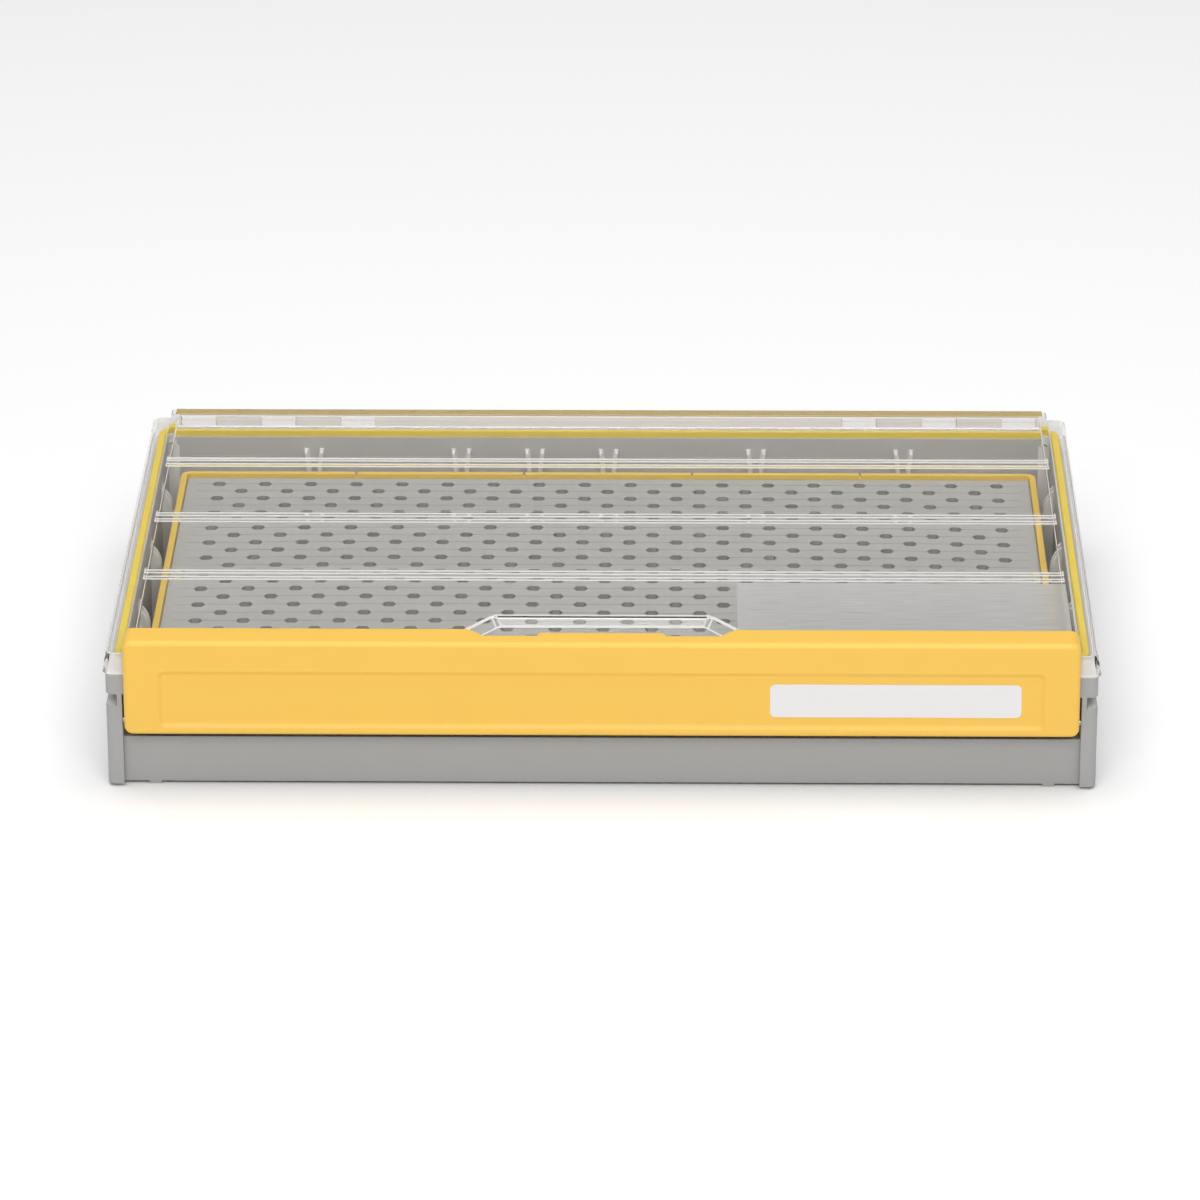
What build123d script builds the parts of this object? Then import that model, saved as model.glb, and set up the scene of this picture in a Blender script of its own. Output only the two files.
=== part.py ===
from build123d import *
import os

# A flat case for fishing hooks: a grey tub with a lift-out hook tray, a clear lid on two
# pinned hinges, and a full-width yellow latch that swings down from the front of the tub.
# Millimetres. X runs along the case, Y from the front to the back, Z up. The origin is on
# the floor under the middle of the case, and the case stands closed.

# Tub
base_width = 353.6
base_depth = 228.6
base_corner_radius = 2.6
foot_height = 1.0
foot_width = 4.4
foot_length = 4.0
foot_root = 2.0
foot_side_inset = 16.8
side_space = 6.6
front_space = 10.8
rear_space = 8.3
cavity_corner_radius = 4.0
floor_thickness = 2.2
tub_wall = 2.6
rim_top = 43.6
rim_thickness = 2.0
rim_lip_height = 7.6
rim_lip_wall = 2.0
finger_groove_height = 4.4
outer_skirt_wall = 2.0
front_skirt_recess = 2.8
front_skirt_height = 17.7
latch_side_gap = 0.7

# Raised edge that carries the seal, and the seal in its groove
upstand_width = 4.1
upstand_height = 3.3
upstand_gap = 0.5
seal_width = 3.0
seal_groove_depth = 1.1
seal_corner_radius = 5.0
seal_gap = 0.2

# Pairs of fins that hold dividers
slot_step = 28.5
rear_slots = (-4, -2, -1, 0, 2, 4)
side_slots_y = (68.0, 11.5, -45.0)
slot_gap = 3.0
fin_thickness = 1.2
rear_fin_reach = 4.5
rear_fin_drop = 1.6
fin_flare = 0.9
fin_flare_height = 7.0
side_fin_reach = 4.2
side_fin_drop = 3.0
side_fin_arch = 9.0

# Lid
lid_side_overhang = 1.0
lid_side_lean = 1.4
lid_corner_radius = 3.0
lid_wall = 1.8
lid_seat_gap = 0.3
flange_height = 8.3
flange_thickness = 2.3
panel_rise = 3.8
panel_thickness = 2.0
panel_side_inset = 7.65
panel_side_slope = 0.7
panel_side_wall = 2.4
panel_corner_radius = 3.0
front_step = 1.0
front_step_length = 10.7
front_step_inset = 1.6
seal_rib_width = 3.6
middle_bead_y = 4.4
bead_pitch = 55.0
bead_width = 4.2
bead_crown = 2.2
bead_gap = 1.6
bead_height = 0.8
bead_end_inset = 2.0

# Thumb scoop in the lid
scoop_setback = 26.7
scoop_rear_half = 38.2
scoop_slant = 0.76
scoop_depth = 3.5
scoop_wall_run = 1.9
scoop_wall = 2.0

# Lid hinges: on each side three lid knuckles and two tub knuckles on one pin
knuckle_radius = 3.2
knuckle_web_height = 8.0
hinge_pin_radius = 1.0
running_clearance = 0.05
knuckle_side_gap = 0.3
barrel_clearance = 0.35
hinge_end_inset = 11.1
hinge_lid_knuckles = 3
lid_knuckle_length = 13.5
tub_knuckle_length = 17.4
hinge_pin_end_gap = 0.5

# Latch
latch_height = 36.1
latch_top = 57.7
latch_flange_depth = 13.5
latch_flange_thickness = 2.4
latch_plate = 2.6
latch_edge_radius = 2.0
latch_corner_radius = 3.0
latch_end_wall = 2.1
latch_lid_gap = 0.5
recess_end_margin = 12.4
recess_top_margin = 11.3
recess_bottom_margin = 3.0
recess_depth = 1.2
recess_slope = 1.4
recess_corner_radius = 2.4
cutout_rear_half = 47.3
cutout_front_half = 42.0
cutout_depth = 5.8
thumb_lip_width = 45.8
thumb_lip_reach = 2.3
thumb_lip_thickness = 2.0
thumb_lip_corner = 1.9
pivot_pin_radius = 1.25
pivot_pin_depth = 3.6
pivot_setback = 2.3
pivot_rise = 3.9
pivot_boss_radius = 3.2
pivot_boss_length = 2.2
arm_back = 3.0
arm_shoulder = 3.5
arm_top = 7.5

# Blank write-on label in the latch's recess
label_length = 89.4
label_height = 12.7
label_thickness = 0.3
label_corner_radius = 1.9
label_end_margin = 20.8

# Hook tray and its soft mat
tray_side_gap = 6.0
tray_front_gap = 14.1
tray_rear_gap = 15.6
tray_top = 39.0
tray_rim = 2.4
tray_wall = 1.8
tray_corner_radius = 4.0
tray_shelf_width = 4.0
tray_shelf_thickness = 2.0
tray_bar_width = 6.0
tray_bar_height = 8.0
tray_bar_offset = 54.5
rim_notch_pitch = 64.6
rim_notch_width = 0.8
rim_notch_depth = 1.5
mat_drop = 2.0
mat_thickness = 2.4
mat_gap = 0.2
hole_pitch_x = 17.55
hole_pitch_y = 7.4
hole_side_margin = 10.0
hole_end_margin = 5.5
hole_length = 4.9
hole_width = 4.0
hole_point = 1.1
hole_depth = 1.6

# Places worked out from the sizes above
half_width = base_width / 2
half_depth = base_depth / 2
half_cavity = half_width - side_space
cavity_front = -half_depth + front_space
cavity_rear = half_depth - rear_space
floor_top = foot_height + floor_thickness
lip_bottom = rim_top - rim_lip_height
skirt_top = lip_bottom - finger_groove_height
tub_front = cavity_front - tub_wall
tub_rear = cavity_rear + tub_wall
tub_half = half_cavity + tub_wall
front_skirt_face = -half_depth + front_skirt_recess
upstand_top = rim_top + upstand_height
lid_bottom = rim_top + lid_seat_gap
flange_top = lid_bottom + flange_height
flange_underside = flange_top - flange_thickness
panel_top = flange_top + panel_rise
half_lid = half_width + lid_side_overhang
panel_half = half_width - panel_side_inset
lid_front_inner = -half_depth + lid_wall
front_step_y = -half_depth + front_step_length
seal_half = half_cavity + upstand_width / 2
seal_rear = cavity_rear + upstand_width / 2
seal_front = lid_front_inner + upstand_gap + upstand_width / 2
seal_bottom = upstand_top - seal_groove_depth
seal_top = flange_underside - seal_gap
hinge_y = half_depth
hinge_z = lid_bottom
hinge_step = lid_knuckle_length + tub_knuckle_length
hinge_end = half_width - hinge_end_inset
hinge_start = hinge_end - (hinge_lid_knuckles - 1) * hinge_step - lid_knuckle_length
scoop_rear = -half_depth + scoop_setback
latch_half = half_cavity
cheek_half = latch_half + latch_side_gap
latch_front = -half_depth - knuckle_radius
latch_bottom = latch_top - latch_height
latch_inner = latch_front + latch_plate
flange_rear = latch_front + latch_flange_depth
flange_bottom = latch_top - latch_flange_thickness
recess_face = latch_front + recess_depth
recess_half = half_cavity - recess_end_margin
recess_height = latch_height - recess_top_margin - recess_bottom_margin
recess_centre_z = latch_bottom + recess_bottom_margin + recess_height / 2
label_centre = latch_half - label_end_margin - label_length / 2
pivot_y = -half_depth + pivot_setback
pivot_z = latch_bottom + pivot_rise
tray_half = half_cavity - tray_side_gap
tray_front = cavity_front + tray_front_gap
tray_rear = cavity_rear - tray_rear_gap
tray_centre_y = (tray_front + tray_rear) / 2
mat_top = tray_top - mat_drop
mat_bottom = mat_top - mat_thickness
mat_inset = tray_rim + mat_gap
mat_half = tray_half - mat_inset
mat_depth = tray_rear - tray_front - 2 * mat_inset
hole_rows = int((mat_depth - 2 * hole_end_margin) / hole_pitch_y) + 1
holes_in_long_row = int(2 * (mat_half - hole_side_margin) / hole_pitch_x) + 1


def block(x0, x1, y0, y1, z0, z1):
    """A box between two opposite corners."""
    return Pos((x0 + x1) / 2, (y0 + y1) / 2, (z0 + z1) / 2) * Box(
        abs(x1 - x0), abs(y1 - y0), abs(z1 - z0)
    )


def slab(half, y0, y1, z0, z1, radius):
    """An upright block, centred along the case, with rounded corners."""
    outline = RectangleRounded(2 * half, y1 - y0, radius)
    return extrude(Pos(0, (y0 + y1) / 2, z0) * outline, z1 - z0)


def tapered_slab(low_half, high_half, y0, y1, z0, z1, radius):
    """A slab whose ends lean in."""
    low = Pos(0, (y0 + y1) / 2, z0) * RectangleRounded(2 * low_half, y1 - y0, radius)
    high = Pos(0, (y0 + y1) / 2, z1) * RectangleRounded(2 * high_half, y1 - y0, radius)
    return loft([low, high])


def prism_x(outline, x0, x1):
    """A (Y, Z) outline carried along X."""
    face = make_face(Polyline(*[(x0, y, z) for y, z in outline], close=True))
    return extrude(face, abs(x1 - x0), dir=(1 if x1 > x0 else -1, 0, 0))


def prism_y(outline, y0, y1):
    """An (X, Z) outline carried along Y."""
    face = make_face(Polyline(*[(x, y0, z) for x, z in outline], close=True))
    return extrude(face, y1 - y0, dir=(0, 1, 0))


def rod(radius, x0, x1, y, z):
    """A round bar along X."""
    return Pos((x0 + x1) / 2, y, z) * Rot(0, 90, 0) * Cylinder(radius, abs(x1 - x0))


def both_sides(shape):
    """A shape on the right with its mirror image on the left."""
    return [shape, mirror(shape, Plane.YZ)]


def seal_line(offset, z0, z1):
    """The area inside the seal's centre line, grown by an offset."""
    return slab(
        seal_half + offset, seal_front - offset, seal_rear + offset,
        z0, z1, seal_corner_radius + offset,
    )


def knuckle_spans():
    """Where the right hinge's lid knuckles and tub knuckles start and end."""
    starts = [hinge_start + n * hinge_step for n in range(hinge_lid_knuckles)]
    lid_spans = [(start, start + lid_knuckle_length) for start in starts]
    tub_spans = [
        (start + lid_knuckle_length + knuckle_side_gap, start + hinge_step - knuckle_side_gap)
        for start in starts[:-1]
    ]
    return lid_spans, tub_spans


def make_walls():
    """The tub's walls, rim, lip and outer skirts, before anything is hollowed from inside."""
    tub = block(-tub_half, tub_half, tub_front, tub_rear, foot_height, rim_top)
    rim = slab(half_width, -half_depth, half_depth, lip_bottom, rim_top, base_corner_radius)
    rim -= block(
        -half_width + rim_lip_wall, half_width - rim_lip_wall,
        -half_depth + rim_lip_wall, half_depth - rim_lip_wall,
        lip_bottom, rim_top - rim_thickness,
    )
    skirt = slab(half_width, -half_depth, half_depth, foot_height, skirt_top, base_corner_radius)
    skirt -= block(
        -half_width + outer_skirt_wall, half_width - outer_skirt_wall,
        -half_depth + outer_skirt_wall, half_depth - outer_skirt_wall,
        foot_height, skirt_top - outer_skirt_wall,
    )
    rear_face = block(
        -tub_half, tub_half, half_depth - outer_skirt_wall, half_depth,
        skirt_top - outer_skirt_wall, lip_bottom,
    )
    hinge_seat = block(
        hinge_start - knuckle_radius, hinge_end + knuckle_radius,
        cavity_rear, half_depth, lip_bottom, rim_top,
    )
    return tub + [rim, skirt, rear_face] + both_sides(hinge_seat)


def make_cheeks():
    """The two ends of the side walls that stand forward of the front and carry the latch."""
    corner = slab(half_width, -half_depth, half_depth, foot_height, rim_top, base_corner_radius)
    cheek = corner & block(cheek_half, half_width, -half_depth, tub_front, foot_height, rim_top)
    cheek -= block(tub_half, half_width, -half_depth, tub_front, skirt_top, lip_bottom)
    return both_sides(cheek)


def make_front_skirt():
    """The low skirt between the cheeks, with the shelf that ties it to the tub's front wall."""
    top = foot_height + front_skirt_height
    inner = front_skirt_face + outer_skirt_wall
    outline = (
        (front_skirt_face, foot_height), (front_skirt_face, top), (tub_front, top),
        (tub_front, top - outer_skirt_wall), (inner, top - outer_skirt_wall), (inner, foot_height),
    )
    return prism_x(outline, -cheek_half, cheek_half)


def make_feet():
    """Four nubs at the lower edges of the skirts."""
    x = half_width - foot_side_inset
    feet = []
    for y in (front_skirt_face + foot_length / 2, half_depth - foot_length / 2):
        foot = block(
            x - foot_width / 2, x + foot_width / 2, y - foot_length / 2, y + foot_length / 2,
            0, foot_height + foot_root,
        )
        feet += both_sides(foot)
    return feet


def make_rear_fins():
    """Pairs of fins on the rear wall, flared at their tops to guide a divider in."""
    top = rim_top - rear_fin_drop
    bend = top - fin_flare_height
    near = slot_gap / 2
    far = near + fin_thickness
    fins = []
    for place in rear_slots:
        for side in (-1, 1):
            outline = [
                (near, floor_top), (far, floor_top), (far, bend),
                (far + fin_flare, top), (near + fin_flare, top), (near, bend),
            ]
            moved = [(place * slot_step + side * x, z) for x, z in outline]
            fins.append(prism_y(moved, cavity_rear - rear_fin_reach, cavity_rear))
    return fins


def make_side_fins():
    """Pairs of fins on the side walls, each with an arched top."""
    spring = rim_top - side_fin_drop - side_fin_arch
    tip = half_cavity - side_fin_reach
    arch = TangentArc((tip, spring), (half_cavity, spring + side_fin_arch), tangent=(0, 1))
    sides = Polyline((tip, spring), (tip, floor_top), (half_cavity, floor_top), arch @ 1)
    profile = Plane.XZ * make_face([arch, sides])
    fins = []
    for y in side_slots_y:
        for step in (-1, 1):
            middle = y + step * (slot_gap + fin_thickness) / 2
            fins += both_sides(Pos(0, middle, 0) * extrude(profile, fin_thickness / 2, both=True))
    return fins


def make_case_base():
    """The grey tub."""
    lid_spans, tub_spans = knuckle_spans()
    base = make_walls()
    base -= block(-cheek_half, cheek_half, -half_depth, tub_front, foot_height, lip_bottom)
    base += make_cheeks() + [make_front_skirt()] + make_feet()
    base -= slab(
        half_cavity, cavity_front, cavity_rear, floor_top, rim_top, cavity_corner_radius
    )
    reach = upstand_width / 2
    upstand = seal_line(reach, rim_top, upstand_top) - seal_line(-reach, rim_top, upstand_top)
    groove = seal_line(seal_width / 2, seal_bottom, upstand_top)
    groove -= seal_line(-seal_width / 2, seal_bottom, upstand_top)
    base += upstand - groove
    base += make_rear_fins() + make_side_fins()
    pocket_radius = knuckle_radius + barrel_clearance
    for x0, x1 in lid_spans:
        pocket = rod(pocket_radius, x0 - knuckle_side_gap, x1 + knuckle_side_gap, hinge_y, hinge_z)
        base -= both_sides(pocket)
    web = (
        (hinge_y, hinge_z - knuckle_web_height), (hinge_y + knuckle_radius, hinge_z),
        (hinge_y, hinge_z),
    )
    for x0, x1 in tub_spans:
        knuckle = rod(knuckle_radius, x0, x1, hinge_y, hinge_z) + prism_x(web, x0, x1)
        base += both_sides(knuckle)
    base -= both_sides(rod(hinge_pin_radius, hinge_start, hinge_end, hinge_y, hinge_z))
    pin_hole = rod(
        pivot_pin_radius, cheek_half, cheek_half + pivot_pin_depth, pivot_y, pivot_z
    )
    return base - both_sides(pin_hole)


def make_rim_seal():
    """The seal, pressed into the groove in the tub's raised edge."""
    half = seal_width / 2
    return seal_line(half, seal_bottom, seal_top) - seal_line(-half, seal_bottom, seal_top)


def scoop_outline(grow, z):
    """The thumb scoop's outline, open towards the front edge of the lid."""
    rear = scoop_rear + grow
    half = scoop_rear_half + grow
    wide = half + scoop_slant * (rear - front_step_y)
    points = [
        (-half, rear, z), (half, rear, z), (wide, front_step_y, z),
        (wide, -half_depth, z), (-wide, -half_depth, z), (-wide, front_step_y, z),
    ]
    return make_face(Polyline(*points, close=True))


def make_lid_shell():
    """The lid's skirt, flange and raised panel, hollow from below."""
    shell = tapered_slab(
        half_lid, half_lid - lid_side_lean, -half_depth, half_depth,
        lid_bottom, flange_top, lid_corner_radius,
    )
    shell += tapered_slab(
        panel_half + panel_side_slope, panel_half, front_step_y, half_depth,
        flange_top, panel_top, panel_corner_radius,
    )
    shell += block(
        -panel_half + front_step_inset, panel_half - front_step_inset,
        -half_depth, front_step_y + panel_corner_radius, flange_top, panel_top - front_step,
    )
    lean = lid_side_lean * (flange_underside - lid_bottom) / flange_height
    low = half_lid - lid_wall
    high = low - lean
    inside = (
        (-low, lid_bottom), (low, lid_bottom), (high, flange_underside), (-high, flange_underside)
    )
    shell -= prism_y(inside, -half_depth + lid_wall, half_depth - lid_wall)
    pocket_half = panel_half - panel_side_wall
    front_rib_rear = seal_front + seal_rib_width / 2
    rear_rib_front = seal_rear - seal_rib_width / 2
    rear_rib_rear = seal_rear + seal_rib_width / 2
    step_wall = front_step_y + panel_thickness
    ceiling = panel_top - panel_thickness
    shell -= block(-pocket_half, pocket_half, step_wall, rear_rib_front, flange_underside, ceiling)
    shell -= block(
        -pocket_half, pocket_half, front_rib_rear, step_wall,
        flange_underside, ceiling - front_step,
    )
    shell -= block(
        -pocket_half, pocket_half, rear_rib_rear, half_depth - lid_wall,
        flange_underside, ceiling,
    )
    return shell


def make_beads():
    """Three double beads that stiffen the lid's panel."""
    half_base = bead_width / 2
    half_crown = bead_crown / 2
    end = panel_half - bead_end_inset
    beads = []
    for n in (-1, 0, 1):
        for side in (-1, 1):
            y = middle_bead_y + n * bead_pitch + side * (bead_width + bead_gap) / 2
            outline = (
                (y - half_base, panel_top), (y + half_base, panel_top),
                (y + half_crown, panel_top + bead_height), (y - half_crown, panel_top + bead_height),
            )
            beads.append(prism_x(outline, -end, end))
    return beads


def make_lid():
    """The clear lid."""
    lid_spans, tub_spans = knuckle_spans()
    floor = panel_top - scoop_depth
    under = floor - scoop_wall
    lid = make_lid_shell() + make_beads()
    boss_bottom = scoop_outline(scoop_wall - scoop_wall_run, under)
    boss_top = scoop_outline(scoop_wall, floor + scoop_wall_run)
    lid += loft([boss_bottom, boss_top])
    lid -= loft([scoop_outline(-scoop_wall_run, floor), scoop_outline(0, panel_top)])
    web = (
        (hinge_y - lid_wall, hinge_z), (hinge_y + knuckle_radius, hinge_z),
        (hinge_y, hinge_z + knuckle_web_height), (hinge_y - lid_wall, hinge_z + knuckle_web_height),
    )
    for x0, x1 in lid_spans:
        lid += both_sides(rod(knuckle_radius, x0, x1, hinge_y, hinge_z) + prism_x(web, x0, x1))
    clear = knuckle_radius + barrel_clearance
    for x0, x1 in tub_spans:
        notch = rod(clear, x0 - knuckle_side_gap, x1 + knuckle_side_gap, hinge_y, hinge_z)
        lid -= both_sides(notch)
    bore_radius = hinge_pin_radius + running_clearance
    return lid - both_sides(rod(bore_radius, hinge_start, hinge_end, hinge_y, hinge_z))


def make_hinge_pin(side):
    """One steel pin through a hinge's knuckles."""
    pin = rod(
        hinge_pin_radius, hinge_start + hinge_pin_end_gap, hinge_end - hinge_pin_end_gap,
        hinge_y, hinge_z,
    )
    return both_sides(pin)[0 if side > 0 else 1]


def make_latch():
    """The yellow latch: a front plate, a flange over the lid, and an arm at each end."""
    outline = Plane.XZ * Pos(0, latch_bottom + latch_height / 2) * RectangleRounded(
        2 * latch_half, latch_height, latch_corner_radius
    )
    latch = extrude(Pos(0, latch_front, 0) * outline, -latch_flange_depth)
    front = latch.faces().sort_by(Axis.Y)[0]
    latch = fillet(front.edges(), latch_edge_radius)
    inside = latch_half - latch_end_wall
    latch -= block(-inside, inside, latch_inner, flange_rear, latch_bottom, flange_bottom)
    end_inner = -half_depth - latch_lid_gap
    arm_y = pivot_y + arm_back
    clear = (
        (end_inner, flange_top + latch_lid_gap), (flange_rear, flange_top + latch_lid_gap),
        (flange_rear, latch_bottom), (arm_y, latch_bottom), (arm_y, pivot_z + arm_shoulder),
        (end_inner, pivot_z + arm_top),
    )
    latch -= prism_x(clear, -latch_half, latch_half)
    boss_start = inside - pivot_boss_length
    latch += both_sides(rod(pivot_boss_radius, boss_start, inside, pivot_y, pivot_z))
    bore = rod(pivot_pin_radius + running_clearance, boss_start, latch_half, pivot_y, pivot_z)
    latch -= both_sides(bore)
    cutout_front = flange_rear - cutout_depth
    notch = make_face(Polyline(
        (-cutout_rear_half, flange_rear), (cutout_rear_half, flange_rear),
        (cutout_front_half, cutout_front), (-cutout_front_half, cutout_front), close=True,
    ))
    latch -= extrude(Pos(0, 0, flange_bottom) * notch, latch_flange_thickness)
    return latch - make_latch_recess() + make_thumb_lip()


def make_latch_recess():
    """The shallow panel sunk in the latch's face, with leaning sides."""
    mouth = RectangleRounded(2 * recess_half, recess_height, recess_corner_radius)
    floor = RectangleRounded(
        2 * (recess_half - recess_slope), recess_height - 2 * recess_slope,
        recess_corner_radius - recess_slope,
    )
    place = Plane.XZ * Pos(0, recess_centre_z)
    return loft([Pos(0, latch_front, 0) * place * mouth, Pos(0, recess_face, 0) * place * floor])


def make_thumb_lip():
    """The tongue behind the flange's cut-out, for the thumb to pull."""
    rear = flange_rear + thumb_lip_reach
    half = thumb_lip_width / 2
    lip = block(-half, half, latch_inner, rear, flange_bottom - thumb_lip_thickness, flange_bottom)
    rear_corners = lip.edges().filter_by(Axis.Z).sort_by(Axis.Y)[-2:]
    return fillet(rear_corners, thumb_lip_corner)


def make_latch_pin(side):
    """One pin that the latch turns on, pressed into a cheek of the tub."""
    start = latch_half - latch_end_wall - pivot_boss_length
    pin = rod(pivot_pin_radius, start, cheek_half + pivot_pin_depth, pivot_y, pivot_z)
    return both_sides(pin)[0 if side > 0 else 1]


def make_label():
    """The blank label in the latch's recess."""
    outline = Plane.XZ * Pos(label_centre, recess_centre_z) * RectangleRounded(
        label_length, label_height, label_corner_radius
    )
    return extrude(Pos(0, recess_face, 0) * outline, label_thickness)


def make_tray():
    """The yellow hook tray: a frame with a rim, a shelf for the mat and two bars under it."""
    tray = slab(tray_half, tray_front, tray_rear, floor_top, tray_top, tray_corner_radius)
    tray -= slab(
        tray_half - tray_rim, tray_front + tray_rim, tray_rear - tray_rim,
        mat_bottom, tray_top, tray_corner_radius - tray_rim,
    )
    shelf_bottom = mat_bottom - tray_shelf_thickness
    for inset, z0, z1 in (
        (tray_rim + tray_shelf_width, shelf_bottom, mat_bottom), (tray_wall, floor_top, shelf_bottom),
    ):
        tray -= block(
            -tray_half + inset, tray_half - inset, tray_front + inset, tray_rear - inset, z0, z1
        )
    for x in (-tray_bar_offset, tray_bar_offset):
        tray += block(
            x - tray_bar_width / 2, x + tray_bar_width / 2,
            tray_front + tray_wall, tray_rear - tray_wall,
            mat_bottom - tray_bar_height, mat_bottom,
        )
    for n in (-1.5, -0.5, 0.5, 1.5):
        x = n * rim_notch_pitch
        tray -= block(
            x - rim_notch_width / 2, x + rim_notch_width / 2, tray_rear - tray_rim, tray_rear,
            tray_top - rim_notch_depth, tray_top,
        )
    return tray


def make_mat():
    """The soft mat, with staggered rows of six-sided pockets for the hook points."""
    mat = slab(
        mat_half, tray_front + mat_inset, tray_rear - mat_inset,
        mat_bottom, mat_top, tray_corner_radius - mat_inset,
    )
    tip = hole_length / 2
    side = hole_width / 2
    shoulder = tip - hole_point
    mouth = make_face(Polyline(
        (-tip, 0), (-shoulder, side), (shoulder, side), (tip, 0),
        (shoulder, -side), (-shoulder, -side), close=True,
    ))
    pocket = loft([mouth, Vertex(0, 0, -hole_depth)])
    pockets = []
    for row in range(hole_rows):
        count = holes_in_long_row - row % 2
        y = tray_centre_y + ((hole_rows - 1) / 2 - row) * hole_pitch_y
        for n in range(count):
            x = (n - (count - 1) / 2) * hole_pitch_x
            pockets.append(Pos(x, y, mat_top) * pocket)
    return mat - pockets


nodes = {
    "case_base": make_case_base(),
    "rim_seal": make_rim_seal(),
    "hinge_pin_right": make_hinge_pin(1),
    "hinge_pin_left": make_hinge_pin(-1),
    "latch_pin_right": make_latch_pin(1),
    "latch_pin_left": make_latch_pin(-1),
    "hook_tray": make_tray(),
    "hook_mat": make_mat(),
    "lid": make_lid(),
    "latch": make_latch(),
    "write_on_label": make_label(),
}

os.makedirs("parts", exist_ok=True)
for name, shape in nodes.items():
    export_step(shape, f"parts/{name}.step")
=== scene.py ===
"""Looks of a flat hook storage case: grey tub, clear lid, yellow latch, and a yellow tray with a soft mat."""

import math

import bmesh
import bpy
from mathutils import Matrix, Vector


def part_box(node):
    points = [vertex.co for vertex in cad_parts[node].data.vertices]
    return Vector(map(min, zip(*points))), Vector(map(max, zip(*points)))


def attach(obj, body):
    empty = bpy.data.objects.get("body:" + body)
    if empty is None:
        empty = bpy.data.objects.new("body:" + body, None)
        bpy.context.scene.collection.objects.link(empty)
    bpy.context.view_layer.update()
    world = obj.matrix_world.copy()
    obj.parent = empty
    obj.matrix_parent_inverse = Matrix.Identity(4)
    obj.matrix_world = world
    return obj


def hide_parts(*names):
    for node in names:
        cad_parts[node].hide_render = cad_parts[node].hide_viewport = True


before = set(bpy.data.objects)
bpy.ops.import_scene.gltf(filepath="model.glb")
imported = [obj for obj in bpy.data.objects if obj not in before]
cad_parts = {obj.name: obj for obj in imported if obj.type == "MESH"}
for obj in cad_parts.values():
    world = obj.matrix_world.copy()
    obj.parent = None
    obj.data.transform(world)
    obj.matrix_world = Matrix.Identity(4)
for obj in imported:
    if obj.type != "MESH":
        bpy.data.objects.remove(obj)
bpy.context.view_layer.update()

bl_info = {
    "name": "Hook storage case",
    "version": (1, 0, 0),
    "blender": (4, 5, 0),
    "location": "View3D > Sidebar > Hook case",
    "description": "Rounds, details and finishes the pieces of a flat hook storage case",
    "category": "Object",
}

MM = 0.001
WELD = 0.002 * MM
CELL_WELD = 0.02 * MM
FLAT_ANGLE = math.radians(0.3)

# How much of a face's normal points one way where the face counts as upright or as level
STEEP = 0.9
LEVEL = 0.999

# The colour sockets of a mix node that mixes colours, which share their names with its other types
MIX_LOW, MIX_HIGH, MIX_RESULT = 6, 7, 2

# Material slots after the first, on the pieces that have more than one
TUB_FINS_PAINTED_LIGHT = 1
MAT_HOLES_PAINTED_SHADE = 1
LID_FROSTED, LID_EDGE_PAINTED_GLOW, LID_REAR_EDGE_PAINTED_SEAL_GLOW = 1, 2, 3


def linear(hex_colour):
    """An sRGB hex colour as the linear red, green and blue that shaders and lamps use."""
    parts = [int(hex_colour[i:i + 2], 16) / 255 for i in (0, 2, 4)]
    return tuple(c / 12.92 if c <= 0.04045 else ((c + 0.055) / 1.055) ** 2.4 for c in parts)


def length(name, description, millimetres):
    """A length that shows in the sidebar with its unit."""
    return bpy.props.FloatProperty(
        name=name, description=description, default=millimetres * MM,
        min=0, precision=5, subtype="DISTANCE", unit="LENGTH",
    )


def colour(name, description, hex_colour):
    """A colour that shows in the sidebar as a swatch."""
    return bpy.props.FloatVectorProperty(
        name=name, description=description, default=linear(hex_colour),
        min=0, max=1, size=3, subtype="COLOR",
    )


class CaseSizes(bpy.types.PropertyGroup):
    tub_edge: length("Tub edge", "Radius on the tub's moulded edges", 0.35)
    lid_edge: length("Lid edge", "Radius on the lid's moulded edges", 0.35)
    latch_edge: length("Latch edge", "Radius on the latch's remaining edges", 0.5)
    tray_edge: length("Tray edge", "Radius on the tray's edges", 0.4)
    seal_edge: length("Seal edge", "Radius along the seal's edges", 0.9)
    label_edge: length("Label edge", "Radius on the label's edge", 0.08)
    pin_edge: length("Pin edge", "Chamfer on the ends of the pins", 0.15)
    frosted_left: length("Frosted left", "Where the frosted field starts, right of the middle", 48.4)
    frosted_right: length("Frosted right", "Where the frosted field ends, right of the middle", 167.6)
    frosted_rear: length("Frosted rear", "How far in front of the middle the field starts", 57.3)
    # The ochre band is a painted glow of the seal below the lid
    rear_edge: length("Rear edge", "Height of the ochre band along the lid's rear edge", 3.4)
    cavity_side: length("Cavity side", "Where the tub's inside ends at its sides", 170.2)
    cavity_rear: length("Cavity rear", "Where the tub's inside ends at its rear", 106.0)
    cavity_floor: length("Cavity floor", "Height of the tub's floor inside", 3.2)
    hole_pitch_x: length("Hole pitch along", "Distance between holes in a row", 17.55)
    hole_pitch_y: length("Row pitch", "Distance between rows of holes", 7.4)
    hole_length: length("Hole length", "Length of a hole along its row", 5.4)
    hole_width: length("Hole width", "Width of a hole across its row", 4.7)
    hole_point: length("Hole point", "Length of a hole's pointed end", 1.1)
    hole_lip: length("Hole lip", "Width of the soft lip round a hole", 0.15)
    hole_depth: length("Hole depth", "Depth of a hole", 1.8)
    slit_width: length("Slit width", "Width of the slit along a row", 0.45)
    slit_depth: length("Slit depth", "Depth of the slit along a row", 0.9)
    mat_crown: length("Mat crown", "How much the mat's middle stands above its edges", 0.9)


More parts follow.
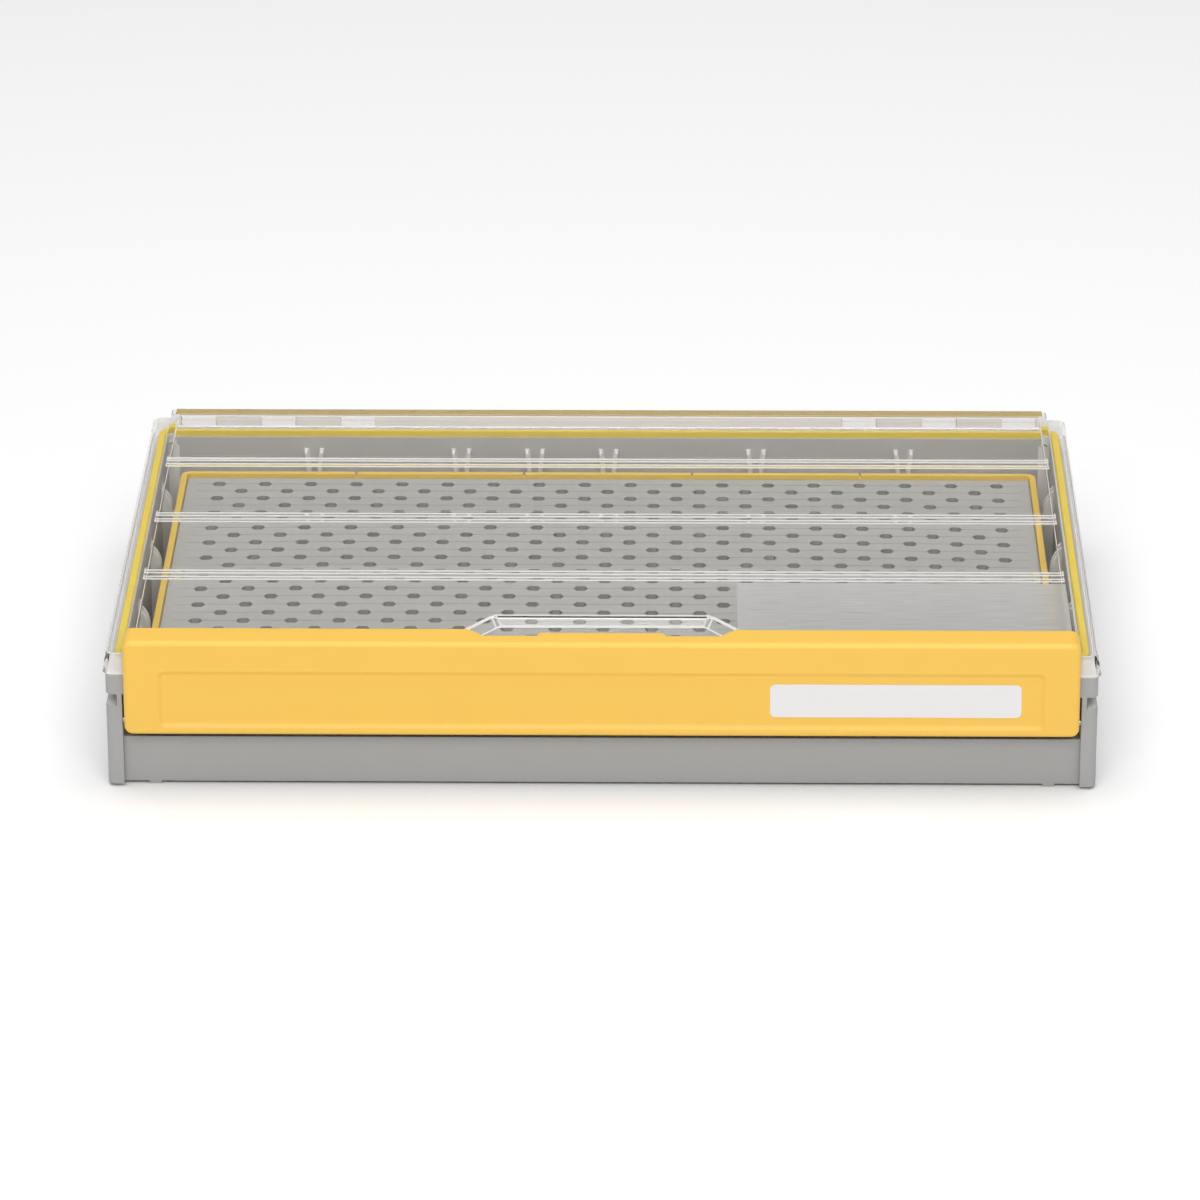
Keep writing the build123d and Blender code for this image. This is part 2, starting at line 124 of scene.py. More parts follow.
class CaseColours(bpy.types.PropertyGroup):
    tub: colour("Tub", "Grey of the tub", "ACACAB")
    # The fins' paler grey is painted light, not a different plastic
    fins: colour("Fins", "Paler grey of the tub's thin fins", "D8D7D4")
    seal: colour("Seal", "Lemon yellow of the seal", "D6BE45")
    tray: colour("Tray", "Yellow of the tray", "D2B14C")
    mat: colour("Mat", "Grey of the mat", "9F9F9B")
    # The darker grey inside the holes is painted shade
    mat_painted_shade: colour("Mat cuts", "Darker grey inside the mat's holes", "858581")
    latch: colour("Latch", "Yellow of the latch", "FFCC55")
    label: colour("Label", "White of the label", "F1F0F0")
    lid: colour("Lid", "Tint of the clear lid", "FDFCFC")
    # The pale grey on the lid's edges is a painted glow
    lid_edge: colour("Lid edge", "Pale grey of the lid's edges", "F2F0EE")
    # The ochre on the lid's rear edge is a painted glow of the seal
    lid_rear_painted_seal_glow: colour("Lid rear edge", "Ochre that the seal lends the lid's rear edge", "BFA765")
    frosting: colour("Frosting", "Pale grey of the lid's frosted field", "DFDDDA")
    pin: colour("Pin", "Steel of the pins", "B9B9B6")


class HookCaseSettings(bpy.types.PropertyGroup):
    sizes: bpy.props.PointerProperty(type=CaseSizes, name="Sizes")
    colours: bpy.props.PointerProperty(type=CaseColours, name="Colours")


def sizes():
    return bpy.context.scene.hook_case.sizes


def colours():
    return bpy.context.scene.hook_case.colours


# Meshes

def merged_node(node):
    """A bmesh copy of a CAD node, its loose triangles merged and its flat faces joined."""
    mesh = bmesh.new()
    mesh.from_mesh(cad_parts[node].data)
    bmesh.ops.remove_doubles(mesh, verts=mesh.verts, dist=WELD)
    bmesh.ops.dissolve_limit(
        mesh, angle_limit=FLAT_ANGLE, verts=mesh.verts, edges=mesh.edges, use_dissolve_boundaries=False
    )
    return mesh


def has_room(edge, chosen, radius):
    """Whether the edges beside this one, which stay sharp, leave room for its rounding."""
    for vert in edge.verts:
        along = (edge.other_vert(vert).co - vert.co).normalized()
        for other in vert.link_edges:
            if other in chosen or not set(other.link_faces) & set(edge.link_faces):
                continue
            if (other.other_vert(vert).co - vert.co).cross(along).length < radius:
                return False
    return True


def round_edges(mesh, radius, segments=2, from_angle=28):
    """Rounds the edges that turn by more than an angle, in degrees, and gives the new faces."""
    limit = math.radians(from_angle)
    chosen = {e for e in mesh.edges if e.is_manifold and e.calc_face_angle() > limit}
    tight = chosen
    while tight:
        tight = {e for e in chosen if not has_room(e, chosen, radius)}
        chosen -= tight
    return bmesh.ops.bevel(
        mesh, geom=list(chosen), offset=radius, offset_type="OFFSET", segments=segments,
        profile=0.5, affect="EDGES", clamp_overlap=False, material=-1,
    )["faces"]


def finish_piece(name, mesh, body, node, materials, smooth_below=40):
    """Makes an object of a bmesh, in place of a CAD node, with flat faces that stay flat."""
    limit = math.radians(smooth_below)
    for face in mesh.faces:
        face.smooth = True
    for edge in mesh.edges:
        edge.smooth = edge.is_manifold and edge.calc_face_angle() < limit
    data = bpy.data.meshes.new(name)
    mesh.to_mesh(data)
    mesh.free()
    piece = bpy.data.objects.new(name, data)
    bpy.context.scene.collection.objects.link(piece)
    for material in materials:
        data.materials.append(material)
    weights = piece.modifiers.new("Flat faces stay flat", "WEIGHTED_NORMAL")
    weights.keep_sharp = True
    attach(piece, body)
    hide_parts(node)
    return piece


# Materials

# How far patterns are drawn out along X, as scales of their coordinates
BRUSHED = (0.03, 1, 1)
DRAWN = (0.05, 1, 1)


def add(tree, kind, settings=None, **links):
    """Adds a node, sets its values, and links its inputs by name."""
    node = tree.nodes.new(kind)
    for key, value in (settings or {}).items():
        if key in node.inputs:
            node.inputs[key].default_value = value
        else:
            setattr(node, key, value)
    for key, source in links.items():
        tree.links.new(source, node.inputs[key.replace("_", " ")])
    return node


def new_material(name):
    """A material with an empty shader, and its node tree."""
    material = bpy.data.materials.new(name)
    material.use_nodes = True
    tree = material.node_tree
    shader = next(node for node in tree.nodes if node.type == "BSDF_PRINCIPLED")
    place = add(tree, "ShaderNodeTexCoord").outputs["Object"]
    return material, tree, shader, place


def mottle(tree, place, base, spread, grain_mm):
    """The base colour, a little lighter and darker over patches of one size."""
    noise = add(tree, "ShaderNodeTexNoise", {"Scale": 1 / (grain_mm * MM), "Detail": 3}, Vector=place)
    dark = tuple(c * (1 - spread) for c in base) + (1,)
    light = tuple(min(1, c * (1 + spread)) for c in base) + (1,)
    mix = add(tree, "ShaderNodeMix", {"data_type": "RGBA"})
    tree.links.new(noise.outputs["Fac"], mix.inputs["Factor"])
    mix.inputs[MIX_LOW].default_value = dark
    mix.inputs[MIX_HIGH].default_value = light
    return mix.outputs[MIX_RESULT]


def grain(tree, place, grain_mm, height_mm, stretch=(1, 1, 1)):
    """A bump of fine grain, its size and height in millimetres."""
    spread = add(tree, "ShaderNodeMapping", {"Scale": stretch}, Vector=place)
    noise = add(
        tree, "ShaderNodeTexNoise", {"Scale": 1 / (grain_mm * MM), "Detail": 2},
        Vector=spread.outputs["Vector"],
    )
    bump = add(
        tree, "ShaderNodeBump", {"Strength": 1.0, "Distance": height_mm * MM},
        Height=noise.outputs["Fac"],
    )
    return bump.outputs["Normal"]


def uneven_gloss(tree, place, low, high, patch_mm):
    """Roughness that drifts between two values."""
    noise = add(tree, "ShaderNodeTexNoise", {"Scale": 1 / (patch_mm * MM), "Detail": 4}, Vector=place)
    span = add(
        tree, "ShaderNodeMapRange", {"To Min": low, "To Max": high}, Value=noise.outputs["Fac"]
    )
    return span.outputs["Result"]


def moulded_plastic(name, base, low_gloss, high_gloss, grain_mm, grain_height_mm, ior=1.5):
    """Injection-moulded plastic: an even colour with faint clouding and a spark-eroded grain."""
    material, tree, shader, place = new_material(name)
    tree.links.new(mottle(tree, place, base, 0.02, 18), shader.inputs["Base Color"])
    tree.links.new(uneven_gloss(tree, place, low_gloss, high_gloss, 25), shader.inputs["Roughness"])
    tree.links.new(grain(tree, place, grain_mm, grain_height_mm), shader.inputs["Normal"])
    shader.inputs["IOR"].default_value = ior
    return material


def tub_polypropylene():
    # Injection-moulded polypropylene: satin, slightly waxy, with a fine matt grain on the outside
    return moulded_plastic("Polypropylene_moulded_grey", colours().tub, 0.42, 0.55, 0.5, 0.02)


def fin_polypropylene_painted_light():
    # The same polypropylene in a paler grey: painted light on the thin fins, which light comes through and
    # catches, so they look paler
    return moulded_plastic("Polypropylene_fins_painted_light", colours().fins, 0.42, 0.55, 0.5, 0.02)


def latch_abs():
    # Injection-moulded ABS: smooth satin with soft highlights along the rounded edges
    return moulded_plastic("ABS_moulded_yellow", colours().latch, 0.36, 0.46, 0.45, 0.012, 1.54)


def tray_polystyrene():
    # Injection-moulded high-impact polystyrene: a little glossier than the latch
    return moulded_plastic("Polystyrene_moulded_yellow", colours().tray, 0.3, 0.4, 0.6, 0.01, 1.55)


def seal_elastomer():
    # Moulded thermoplastic elastomer: rubbery, dull, slightly see-through at its edges
    material, tree, shader, place = new_material("Elastomer_moulded_ochre")
    tree.links.new(mottle(tree, place, colours().seal, 0.04, 9), shader.inputs["Base Color"])
    tree.links.new(uneven_gloss(tree, place, 0.5, 0.62, 12), shader.inputs["Roughness"])
    tree.links.new(grain(tree, place, 0.4, 0.01), shader.inputs["Normal"])
    return material


def foam(name, base):
    """Closed-cell foam: dry and matt, with a fine cell pattern and no highlight."""
    material, tree, shader, place = new_material(name)
    tree.links.new(mottle(tree, place, base, 0.035, 1.2), shader.inputs["Base Color"])
    tree.links.new(grain(tree, place, 0.35, 0.05), shader.inputs["Normal"])
    shader.inputs["Roughness"].default_value = 0.85
    return material


def mat_foam():
    # Die-cut closed-cell EVA foam: dry, matt, with a fine cell pattern and no highlight
    return foam("EVA_foam_die_cut_grey", colours().mat)


def mat_holes_painted_shade():
    # The same foam in a darker grey inside the holes: painted shade, where the holes lie in shade
    return foam("EVA_foam_holes_painted_shade", colours().mat_painted_shade)


def let_lamps_through(tree, shader):
    """Lets lamps light what is behind clear plastic, which would otherwise lie in its shadow."""
    clear = add(tree, "ShaderNodeBsdfTransparent", {"Color": (0.94, 0.94, 0.94, 1)})
    path = add(tree, "ShaderNodeLightPath")
    mix = add(tree, "ShaderNodeMixShader", Fac=path.outputs["Is Shadow Ray"])
    tree.links.new(shader.outputs["BSDF"], mix.inputs[1])
    tree.links.new(clear.outputs["BSDF"], mix.inputs[2])
    surface = next(node for node in tree.nodes if node.type == "OUTPUT_MATERIAL")
    tree.links.new(mix.outputs["Shader"], surface.inputs["Surface"])


def lid_polycarbonate():
    # Injection-moulded clear polycarbonate: polished, and so clear that little but its gloss shows.
    # Its IOR is far below polycarbonate's 1.58, which turns the thin walls black; the coat has the gloss
    material, tree, shader, place = new_material("Polycarbonate_moulded_clear")
    shader.inputs["Base Color"].default_value = (*colours().lid, 1)
    shader.inputs["Transmission Weight"].default_value = 1.0
    shader.inputs["IOR"].default_value = 1.1
    shader.inputs["Coat Weight"].default_value = 0.6
    shader.inputs["Coat IOR"].default_value = 1.5
    tree.links.new(uneven_gloss(tree, place, 0.015, 0.03, 60), shader.inputs["Roughness"])
    let_lamps_through(tree, shader)
    return material


def painted_glow_polycarbonate(name, base):
    """Clear plastic at its edges, in a pale colour that is a painted glow of the light that the walls gather.
    """
    material, tree, shader, place = new_material(name)
    tree.links.new(mottle(tree, place, base, 0.03, 8), shader.inputs["Base Color"])
    shader.inputs["Transmission Weight"].default_value = 0.3
    shader.inputs["IOR"].default_value = 1.3
    tree.links.new(uneven_gloss(tree, place, 0.1, 0.2, 20), shader.inputs["Roughness"])
    let_lamps_through(tree, shader)
    return material


def lid_edges_painted_glow():
    # The moulded edges and ends of the clear walls: pale for a painted silvery glow, and half see-through
    return painted_glow_polycarbonate("Polycarbonate_edge_painted_glow", colours().lid_edge)


def lid_rear_edge_painted_seal_glow():
    # The same edge in ochre: a painted glow of the seal below
    return painted_glow_polycarbonate("Polycarbonate_rear_edge_painted_seal_glow", colours().lid_rear_painted_seal_glow)


def lid_frosting():
    # The same clear plastic moulded against a brushed steel insert: hazy, with faint fine lines
    material, tree, shader, place = new_material("Polycarbonate_brushed_frost")
    # The insert's lines are about 0.1 mm apart, drawn at 0.5 mm so that they show
    across = add(tree, "ShaderNodeMapping", {"Scale": BRUSHED}, Vector=place).outputs["Vector"]
    tree.links.new(mottle(tree, across, colours().frosting, 0.45, 0.5), shader.inputs["Base Color"])
    tree.links.new(grain(tree, place, 0.5, 0.06, BRUSHED), shader.inputs["Normal"])
    tree.links.new(uneven_gloss(tree, place, 0.45, 0.6, 30), shader.inputs["Roughness"])
    shader.inputs["Transmission Weight"].default_value = 0.55
    shader.inputs["IOR"].default_value = 1.4
    let_lamps_through(tree, shader)
    return material


def label_film():
    # Matt coated polyester film: flat white that takes a pen
    material, tree, shader, place = new_material("Polyester_film_matt_white")
    tree.links.new(mottle(tree, place, colours().label, 0.01, 6), shader.inputs["Base Color"])
    tree.links.new(grain(tree, place, 0.3, 0.004), shader.inputs["Normal"])
    shader.inputs["Roughness"].default_value = 0.7
    return material


def pin_steel():
    # Drawn steel wire: bright, with fine lines along its length
    material, tree, shader, place = new_material("Steel_drawn_wire")
    tree.links.new(mottle(tree, place, colours().pin, 0.05, 3), shader.inputs["Base Color"])
    tree.links.new(grain(tree, place, 0.12, 0.004, DRAWN), shader.inputs["Normal"])
    shader.inputs["Metallic"].default_value = 1.0
    shader.inputs["Roughness"].default_value = 0.32
    return material


# Operators

class HOOKCASE_OT_tub(bpy.types.Operator):
    """Rounds and finishes the grey tub and the thin fins inside it"""
    bl_idname = "hookcase.tub"
    bl_label = "Tub"

    def execute(self, context):
        size = sizes()
        mesh = merged_node("case_base")
        round_edges(mesh, size.tub_edge)
        # Faces inside the cavity above its floor, the fins, take the paler grey of painted light
        for face in mesh.faces:
            x, y, z = face.calc_center_median()
            clear_of_walls = abs(x) < size.cavity_side - WELD and abs(y) < size.cavity_rear - WELD
            if clear_of_walls and z > size.cavity_floor + size.tub_edge:
                face.material_index = TUB_FINS_PAINTED_LIGHT
        finish_piece("tub", mesh, "case", "case_base", [tub_polypropylene(), fin_polypropylene_painted_light()])
        return {"FINISHED"}


class HOOKCASE_OT_seal(bpy.types.Operator):
    """Rounds and finishes the seal"""
    bl_idname = "hookcase.seal"
    bl_label = "Seal"

    def execute(self, context):
        mesh = merged_node("rim_seal")
        round_edges(mesh, sizes().seal_edge, segments=4, from_angle=60)
        finish_piece("seal", mesh, "case", "rim_seal", [seal_elastomer()])
        return {"FINISHED"}


class HOOKCASE_OT_pins(bpy.types.Operator):
    """Chamfers and finishes the hinge pins and the latch pins"""
    bl_idname = "hookcase.pins"
    bl_label = "Pins"

    def execute(self, context):
        steel = pin_steel()
        for node in ("hinge_pin_left", "hinge_pin_right", "latch_pin_left", "latch_pin_right"):
            mesh = merged_node(node)
            round_edges(mesh, sizes().pin_edge, segments=1, from_angle=60)
            finish_piece(node + "_wire", mesh, "case", node, [steel])
        return {"FINISHED"}


class HOOKCASE_OT_tray(bpy.types.Operator):
    """Rounds and finishes the hook tray"""
    bl_idname = "hookcase.tray"
    bl_label = "Hook tray"

    def execute(self, context):
        mesh = merged_node("hook_tray")
        round_edges(mesh, sizes().tray_edge)
        finish_piece("tray", mesh, "case", "hook_tray", [tray_polystyrene()])
        return {"FINISHED"}


# Shares of the lip's width: how far the lip drops, and how far a hole's walls lean in
LIP_DROP = 0.6
WALL_LEAN = 0.8

# How the crown flattens towards the mat's ends and towards its front and rear
CROWN_POWER_X = 4
CROWN_POWER_Y = 2


def grid_cell(width, depth, cuts):
    """A flat rectangle of the mat, cut along planes."""
    cell = bmesh.new()
    bmesh.ops.create_grid(cell, x_segments=1, y_segments=1, size=0.5)
    bmesh.ops.scale(cell, vec=(width, depth, 1), verts=cell.verts)
    for place, across in cuts:
        everything = cell.verts[:] + cell.edges[:] + cell.faces[:]
        bmesh.ops.bisect_plane(cell, geom=everything, plane_co=place, plane_no=across, dist=WELD)
    return cell


def hole_cell(size):
    """One cell of the mat: a six-sided hole in the middle, with the row's slit on both sides."""
    tip = size.hole_length / 2
    side = size.hole_width / 2
    shoulder = tip - size.hole_point
    slit = size.slit_width / 2
    cuts = [((x, 0, 0), (1, 0, 0)) for x in (-tip, -shoulder, 0, shoulder, tip)]
    cuts += [((0, y, 0), (0, 1, 0)) for y in (-side, -slit, 0, slit, side)]
    cell = grid_cell(size.hole_pitch_x, size.hole_pitch_y, cuts)

    def corner(x, y):
        return min(cell.verts, key=lambda v: (v.co - Vector((x, y, 0))).length)

    for x in (-1, 1):
        for y in (-1, 1):
            ends = [corner(x * shoulder, y * side), corner(x * tip, y * slit)]
            bmesh.ops.connect_vert_pair(cell, verts=ends)
    slope = (side - slit) / size.hole_point
    hole = []
    for face in cell.faces:
        x, y = (abs(c) for c in face.calc_center_median().xy)
        if x < tip and y < side and (x < shoulder or y < slit + (tip - x) * slope):
            hole.append(face)
    lip = size.hole_lip
    for width, drop in ((lip, lip * LIP_DROP), (lip * WALL_LEAN, size.hole_depth)):
        walls = bmesh.ops.inset_region(
            cell, faces=hole, thickness=width, depth=-drop, use_even_offset=True, use_boundary=True
        )["faces"]
    # The hole's floor and walls take the darker grey of painted shade
    for face in hole + walls:
        face.material_index = MAT_HOLES_PAINTED_SHADE
    for vert in cell.verts:
        if abs(vert.co.y) < WELD and abs(vert.co.z) < WELD and abs(vert.co.x) > tip - WELD:
            vert.co.z = -size.slit_depth
    return cell


def plain_cell(size):
    """Half a cell with only the slit, for the ends of the short rows."""
    slit = size.slit_width / 2
    cuts = [((0, y, 0), (0, 1, 0)) for y in (-slit, 0, slit)]
    cell = grid_cell(size.hole_pitch_x / 2, size.hole_pitch_y, cuts)
    for vert in cell.verts:
        if abs(vert.co.y) < WELD:
            vert.co.z = -size.slit_depth
    return cell


def lay_cell(mesh, cell, x, y):
    """Copies a cell into the mat."""
    data = bpy.data.meshes.new("cell")
    cell.to_mesh(data)
    data.transform(Matrix.Translation((x, y, 0)))
    mesh.from_mesh(data)
    bpy.data.meshes.remove(data)


class HOOKCASE_OT_mat(bpy.types.Operator):
    """Builds the soft mat with its rows of holes and slits"""
    bl_idname = "hookcase.mat"
    bl_label = "Hook mat"

    def execute(self, context):
        size = sizes()
        low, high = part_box("hook_mat")
        half_x = (high.x - low.x) / 2
        half_y = (high.y - low.y) / 2
        middle = (low + high) / 2
        columns = int(2 * half_x / size.hole_pitch_x)
        rows = int(2 * half_y / size.hole_pitch_y)
        field_x = columns * size.hole_pitch_x / 2
        field_y = rows * size.hole_pitch_y / 2
        mesh = bmesh.new()
        holed = hole_cell(size)
        plain = plain_cell(size)
        for row in range(rows):
            y = ((rows - 1) / 2 - row) * size.hole_pitch_y
            count = columns - row % 2
            for n in range(count):
                lay_cell(mesh, holed, (n - (count - 1) / 2) * size.hole_pitch_x, y)
            if count < columns:
                for side in (-1, 1):
                    lay_cell(mesh, plain, side * (field_x - size.hole_pitch_x / 4), y)
        holed.free()
        plain.free()
        bmesh.ops.remove_doubles(mesh, verts=mesh.verts, dist=CELL_WELD)
        for vert in mesh.verts:
            if abs(abs(vert.co.x) - field_x) < WELD:
                vert.co.z = 0
        outline = [e for e in mesh.edges if e.is_boundary]
        border = bmesh.ops.extrude_edge_only(mesh, edges=outline)["geom"]
        for vert in (g for g in border if isinstance(g, bmesh.types.BMVert)):
            if abs(abs(vert.co.x) - field_x) < WELD:
                vert.co.x = math.copysign(half_x, vert.co.x)
            if abs(abs(vert.co.y) - field_y) < WELD:
                vert.co.y = math.copysign(half_y, vert.co.y)
        for vert in mesh.verts:
            across = 1 - (vert.co.x / half_x) ** CROWN_POWER_X
            along = 1 - (vert.co.y / half_y) ** CROWN_POWER_Y
            vert.co.z += size.mat_crown * max(0, across * along)
        rim = [e for e in mesh.edges if e.is_boundary]
        skirt = bmesh.ops.extrude_edge_only(mesh, edges=rim)["geom"]
        lower = [g for g in skirt if isinstance(g, bmesh.types.BMVert)]
        bmesh.ops.translate(mesh, vec=(0, 0, low.z - high.z), verts=lower)
        bmesh.ops.edgeloop_fill(mesh, edges=[e for e in mesh.edges if e.is_boundary])
        bmesh.ops.recalc_face_normals(mesh, faces=mesh.faces)
        bmesh.ops.translate(mesh, vec=(middle.x, middle.y, high.z), verts=mesh.verts)
        finish_piece("mat", mesh, "case", "hook_mat", [mat_foam(), mat_holes_painted_shade()], smooth_below=50)
        return {"FINISHED"}


def cut_flat(mesh, axis, at, place, across):
    """Cuts the flat faces that lie at one place on an axis along a plane."""
    faces = [f for f in mesh.faces if all(abs(getattr(v.co, axis) - at) < WELD for v in f.verts)]
    geometry = {g for f in faces for g in (f, *f.edges, *f.verts)}
    bmesh.ops.bisect_plane(mesh, geom=list(geometry), plane_co=place, plane_no=across, dist=WELD)


class HOOKCASE_OT_lid(bpy.types.Operator):
    """Rounds the clear lid, frosts the field at its front right and gives its edges a painted glow"""
    bl_idname = "hookcase.lid"
    bl_label = "Lid"

    def execute(self, context):
        size = sizes()
        mesh = merged_node("lid")
        outlined = [f for f in mesh.faces if len(f.verts) > 4]
        bmesh.ops.triangulate(mesh, faces=outlined, quad_method="BEAUTY", ngon_method="BEAUTY")
        # The rounded edges take the pale colour of the painted glow
        for face in round_edges(mesh, size.lid_edge):
            face.material_index = LID_EDGE_PAINTED_GLOW
        panel = self.panel_height(mesh)
        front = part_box("lid")[0].y
        rear = max(v.co.y for v in mesh.verts if v.co.z > panel - size.rear_edge)
        for side in (size.frosted_left, size.frosted_right):
            cut_flat(mesh, "z", panel, (side, 0, 0), (1, 0, 0))
        cut_flat(mesh, "z", panel, (0, -size.frosted_rear, 0), (0, 1, 0))
        cut_flat(mesh, "y", rear, (0, 0, panel - size.rear_edge), (0, 0, 1))
        for face in mesh.faces:
            centre = face.calc_center_median()
            inside = size.frosted_left < centre.x < size.frosted_right
            if inside and centre.y < -size.frosted_rear and abs(centre.z - panel) < WELD:
                face.material_index = LID_FROSTED
            # The lid's front faces take the painted glow of the edges too
            elif abs(centre.y - front) < size.lid_edge and face.normal.y < 0:
                face.material_index = LID_EDGE_PAINTED_GLOW
            # The rear face takes the painted glow, and along its top the painted ochre glow of the seal
            elif abs(centre.y - rear) < size.lid_edge and face.normal.y > STEEP:
                painted_seal_glow = centre.z > panel - size.rear_edge
                face.material_index = LID_REAR_EDGE_PAINTED_SEAL_GLOW if painted_seal_glow else LID_EDGE_PAINTED_GLOW
        materials = [lid_polycarbonate(), lid_frosting(), lid_edges_painted_glow(), lid_rear_edge_painted_seal_glow()]
        finish_piece("clear_lid", mesh, "lid", "lid", materials)
        return {"FINISHED"}

    @staticmethod
    def panel_height(mesh):
        """The height of the panel, which is the largest flat face that looks up."""
        up = [f for f in mesh.faces if f.normal.z > LEVEL]
        return max(up, key=lambda f: f.calc_area()).verts[0].co.z


class HOOKCASE_OT_latch(bpy.types.Operator):
    """Rounds and finishes the yellow latch"""
    bl_idname = "hookcase.latch"
    bl_label = "Latch"

    def execute(self, context):
        mesh = merged_node("latch")
        round_edges(mesh, sizes().latch_edge, segments=3)
        finish_piece("latch_cover", mesh, "latch", "latch", [latch_abs()])
        return {"FINISHED"}


class HOOKCASE_OT_label(bpy.types.Operator):
    """Finishes the blank write-on label"""
    bl_idname = "hookcase.label"
    bl_label = "Label"

    def execute(self, context):
        mesh = merged_node("write_on_label")
        round_edges(mesh, sizes().label_edge, from_angle=60)
        finish_piece("label", mesh, "latch", "write_on_label", [label_film()])
        return {"FINISHED"}


# The stage: the photograph was taken from in front and above, with a very long lens
CAMERA_PLACE = Vector((28.2, -2205.4, 964.3)) * MM
CAMERA_TURN = math.radians(-0.784)
CAMERA_DIP = math.radians(23.076)
CAMERA_ROLL = math.radians(-0.116)
CAMERA_LENS = 192.81
FLOOR_SIZE = 8.0
WALL_GLOW = 0.2
CEILING_GLOW = 0.9
WALL_TOP = math.sin(math.radians(30))
CEILING_EDGE = math.sin(math.radians(65))


def aim_camera():
    """The camera at the photograph's place and angle."""
    forward = Vector((
        math.sin(CAMERA_TURN) * math.cos(CAMERA_DIP),
        math.cos(CAMERA_TURN) * math.cos(CAMERA_DIP),
        -math.sin(CAMERA_DIP),
    ))
    level_right = Vector((math.cos(CAMERA_TURN), -math.sin(CAMERA_TURN), 0))
    level_up = level_right.cross(forward)
    right = level_right * math.cos(CAMERA_ROLL) + level_up * math.sin(CAMERA_ROLL)
    up = level_up * math.cos(CAMERA_ROLL) - level_right * math.sin(CAMERA_ROLL)
    lens = bpy.data.cameras.new("Camera")
    lens.lens = CAMERA_LENS
    lens.sensor_width = 36
    lens.clip_end = 50
    camera = bpy.data.objects.new("Camera", lens)
    turn = Matrix((right, up, -forward)).transposed().to_4x4()
    camera.matrix_world = Matrix.Translation(CAMERA_PLACE) @ turn
    bpy.context.scene.collection.objects.link(camera)
    bpy.context.scene.camera = camera


def softbox(name, place, target, width, depth, power):
    """A large soft lamp that points at a target."""
    lamp = bpy.data.lights.new(name, "AREA")
    lamp.shape = "RECTANGLE"
    lamp.size = width
    lamp.size_y = depth
    lamp.energy = power
    holder = bpy.data.objects.new(name, lamp)
    holder.location = place
    holder.rotation_euler = (Vector(target) - Vector(place)).to_track_quat("-Z", "Y").to_euler()
    bpy.context.scene.collection.objects.link(holder)


def seen_directly(tree):
    """One where the camera sees a surface straight, in a mirror or through the lid."""
    path = add(tree, "ShaderNodeLightPath")
    seen = path.outputs["Is Camera Ray"]
    for ray in ("Is Transmission Ray", "Is Glossy Ray"):
        either = add(tree, "ShaderNodeMath", {"operation": "MAXIMUM"})
        tree.links.new(seen, either.inputs[0])
        tree.links.new(path.outputs[ray], either.inputs[1])
        seen = either.outputs[0]
    return seen


def light_world():
    """A studio with dim walls and a pale ceiling, which leaves the lid's flat panel clear of glare."""
    world = bpy.data.worlds.new("Studio")
    world.use_nodes = True
    tree = world.node_tree
    sky = next(node for node in tree.nodes if node.type == "BACKGROUND")
    sky.inputs["Color"].default_value = (1, 1, 1, 1)
    direction = add(tree, "ShaderNodeTexCoord").outputs["Object"]
    height = add(tree, "ShaderNodeSeparateXYZ", Vector=direction).outputs["Z"]
    glow = add(
        tree, "ShaderNodeMapRange",
        {
            "interpolation_type": "SMOOTHSTEP", "From Min": WALL_TOP, "From Max": CEILING_EDGE,
            "To Min": WALL_GLOW, "To Max": CEILING_GLOW,
        },
        Value=height,
    )
    tree.links.new(glow.outputs["Result"], sky.inputs["Strength"])
    bpy.context.scene.world = world


def floor_paper():
    # Seamless studio paper: plain matt white, a little paler where it is looked at
    material, tree, shader, place = new_material("Studio_paper_matt")
    mix = add(tree, "ShaderNodeMix", {"data_type": "RGBA"})
    tree.links.new(seen_directly(tree), mix.inputs["Factor"])
    mix.inputs[MIX_LOW].default_value = (*linear("EDEDED"), 1)
    mix.inputs[MIX_HIGH].default_value = (1, 1, 1, 1)
    tree.links.new(mix.outputs[MIX_RESULT], shader.inputs["Base Color"])
    shader.inputs["Roughness"].default_value = 1.0
    shader.inputs["Specular IOR Level"].default_value = 0.0
    return material


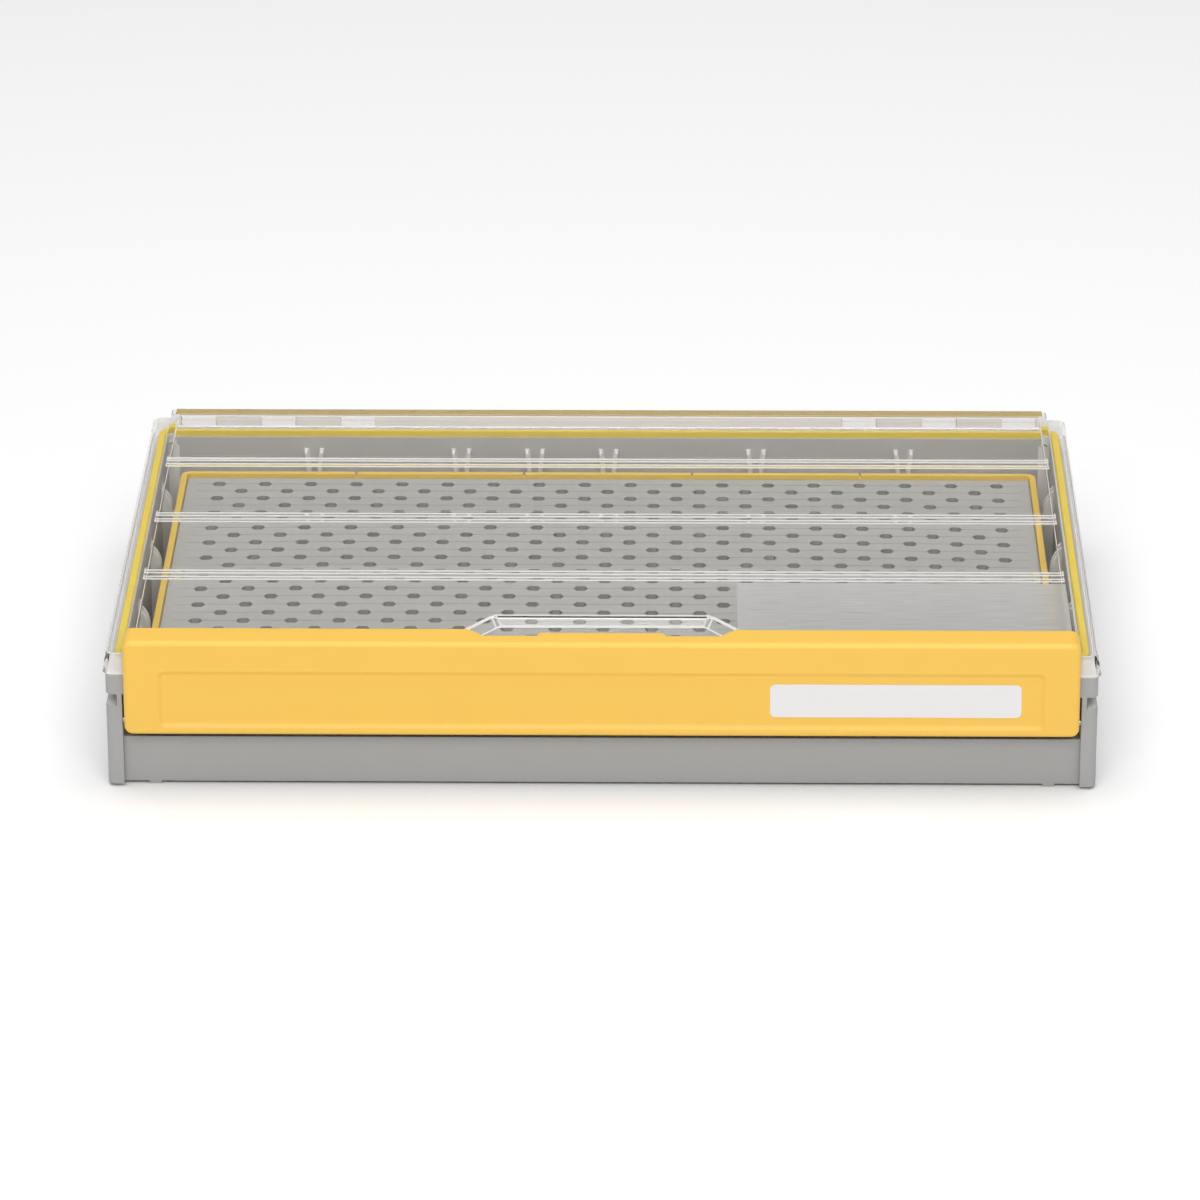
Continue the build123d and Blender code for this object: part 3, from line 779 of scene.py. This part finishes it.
class HOOKCASE_OT_stage(bpy.types.Operator):
    """Sets the floor, the soft lamps, the sky and the camera"""
    bl_idname = "hookcase.stage"
    bl_label = "Stage"

    def execute(self, context):
        mesh = bmesh.new()
        bmesh.ops.create_grid(mesh, x_segments=1, y_segments=1, size=FLOOR_SIZE / 2)
        data = bpy.data.meshes.new("floor")
        mesh.to_mesh(data)
        mesh.free()
        floor = bpy.data.objects.new("floor", data)
        data.materials.append(floor_paper())
        context.scene.collection.objects.link(floor)
        softbox("Top_softbox", (0, 0.1, 1.7), (0, 0, 0), width=1.8, depth=1.2, power=9)
        softbox("Front_softbox", (0, -2.1, 1.7), (0, 0, 0.03), width=2.4, depth=1.2, power=32)
        light_world()
        aim_camera()
        context.scene.view_settings.view_transform = "Standard"
        return {"FINISHED"}


class HOOKCASE_PT_pieces(bpy.types.Panel):
    """Pieces of the case and their sizes and colours"""
    bl_idname = "HOOKCASE_PT_pieces"
    bl_label = "Hook case"
    bl_space_type = "VIEW_3D"
    bl_region_type = "UI"
    bl_category = "Hook case"

    def draw(self, context):
        settings = context.scene.hook_case
        for operator in OPERATORS:
            self.layout.operator(operator.bl_idname)
        for group in (settings.sizes, settings.colours):
            box = self.layout.box()
            for name in group.__annotations__:
                box.prop(group, name)


OPERATORS = (
    HOOKCASE_OT_stage, HOOKCASE_OT_tub, HOOKCASE_OT_seal, HOOKCASE_OT_pins, HOOKCASE_OT_tray,
    HOOKCASE_OT_mat, HOOKCASE_OT_lid, HOOKCASE_OT_latch, HOOKCASE_OT_label,
)
CLASSES = (CaseSizes, CaseColours, HookCaseSettings, *OPERATORS, HOOKCASE_PT_pieces)


def register():
    for cls in CLASSES:
        bpy.utils.register_class(cls)
    bpy.types.Scene.hook_case = bpy.props.PointerProperty(type=HookCaseSettings)


def unregister():
    del bpy.types.Scene.hook_case
    for cls in reversed(CLASSES):
        bpy.utils.unregister_class(cls)


def main():
    register()
    bpy.ops.hookcase.stage()
    bpy.ops.hookcase.tub()
    bpy.ops.hookcase.seal()
    bpy.ops.hookcase.pins()
    bpy.ops.hookcase.tray()
    bpy.ops.hookcase.mat()
    bpy.ops.hookcase.lid()
    bpy.ops.hookcase.latch()
    bpy.ops.hookcase.label()


if __name__ == "__main__":
    main()
